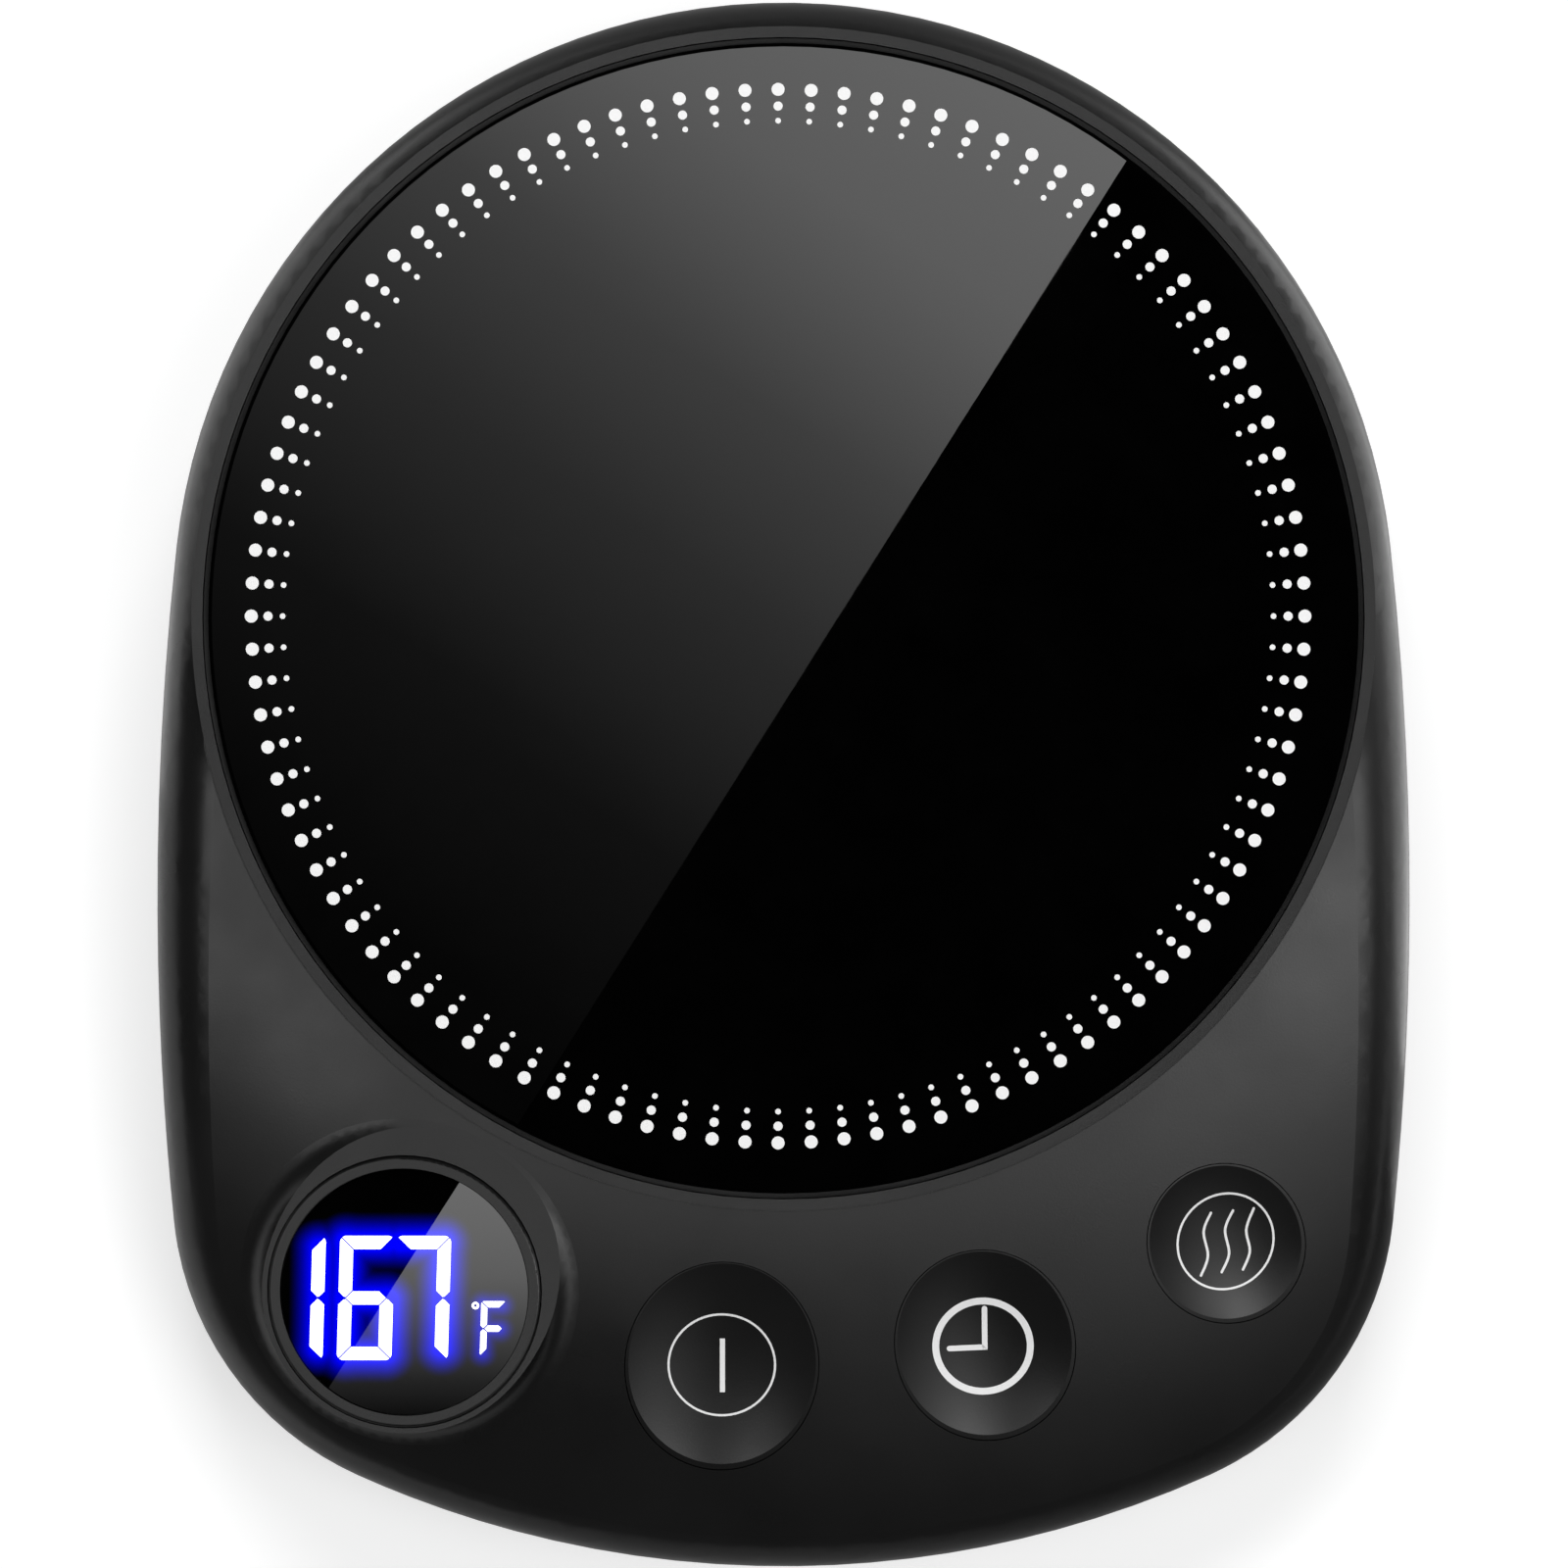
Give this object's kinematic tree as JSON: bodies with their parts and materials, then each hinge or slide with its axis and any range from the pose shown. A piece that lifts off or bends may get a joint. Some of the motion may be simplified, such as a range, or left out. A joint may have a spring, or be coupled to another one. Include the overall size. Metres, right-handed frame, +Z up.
{
  "type": "electric mug warmer",
  "caption": "Low egg-shaped mug warmer: round black glass heating plate with a dotted ring, round lit display and dished push buttons on a sloping deck.",
  "frame": {"origin": "on the table under the middle of the case's bounding box", "axes": "+X to the user's right, +Y to the rear where the power socket is, +Z up"},
  "size_m": [0.12, 0.15, 0.026],
  "materials": {
    "case_plastic": "fine spark-grain black ABS",
    "base_plastic": "fine-grain black ABS",
    "button_plastic": "fine-grain black ABS with white print",
    "bezel_plastic": "satin black ABS",
    "rubber": "matt black rubber",
    "seal_silicone": "black silicone",
    "steel": "zinc plated steel",
    "clamp_steel": "plain sheet steel",
    "plate_glass": "polished black ceramic glass, opaque",
    "aluminium": "rolled sheet",
    "film_amber": "amber polyimide film",
    "fibre_pad": "white ceramic fibre felt",
    "epoxy_black": "moulded epoxy",
    "fuse_body": "glazed ceramic body",
    "lead_white": "silicone sleeve",
    "lead_black": "vinyl sleeve",
    "lead_red": "silicone sleeve",
    "board_green": "solder mask on glass fibre laminate",
    "switch_black": "moulded nylon",
    "plunger_white": "moulded nylon",
    "lens_black": "dark tinted acrylic",
    "module_black": "moulded light box",
    "segment_resin": "milky light bars",
    "socket_black": "moulded nylon",
    "brass": "plated brass",
    "capacitor_can": "sleeved aluminium can",
    "nylon_white": "natural nylon"
  },
  "bodies": {
    "case": {"top_cover": "case_plastic", "base_cover": "base_plastic", "rubber_feet": "rubber", "case_screws": "steel", "board_screws": "steel", "clamp_screws": "steel", "glass_plate": "plate_glass", "plate_seal": "seal_silicone", "heat_spreader": "aluminium", "heater_film": "film_amber", "insulation_pad": "fibre_pad", "heater_clamp": "clamp_steel", "temperature_sensor": "epoxy_black", "thermal_fuse": "fuse_body", "heater_leads": "lead_white", "sensor_leads": "lead_black", "supply_leads": "lead_red", "control_board": "board_green", "power_switch": "switch_black", "timer_switch": "switch_black", "heat_switch": "switch_black", "display_bezel": "bezel_plastic", "display_lens": "lens_black", "display_module": "module_black", "segment_bars": "segment_resin", "display_board": "board_green", "display_header": "switch_black", "power_socket": "socket_black", "socket_pin": "brass", "socket_contact": "brass", "microcontroller": "epoxy_black", "power_transistor": "epoxy_black", "capacitor": "capacitor_can", "supply_connector": "nylon_white", "heater_connector": "nylon_white", "sensor_connector": "nylon_white"},
    "power_key": {"power_button": "button_plastic", "power_plunger": "plunger_white"},
    "timer_key": {"timer_button": "button_plastic", "timer_plunger": "plunger_white"},
    "heat_key": {"heat_button": "button_plastic", "heat_plunger": "plunger_white"}
  },
  "joints": [
    {"name": "power_press", "type": "slide", "parent": "case", "child": "power_key", "axis": [0, 0, -1], "range_m": [0, 0.0004], "stiffness_N_per_m": 2000, "springref_m": -0.0005},
    {"name": "timer_press", "type": "slide", "parent": "case", "child": "timer_key", "axis": [0, 0, -1], "range_m": [0, 0.0004], "stiffness_N_per_m": 2000, "springref_m": -0.0005},
    {"name": "heat_press", "type": "slide", "parent": "case", "child": "heat_key", "axis": [0, 0, -1], "range_m": [0, 0.0004], "stiffness_N_per_m": 2000, "springref_m": -0.0005}
  ]
}
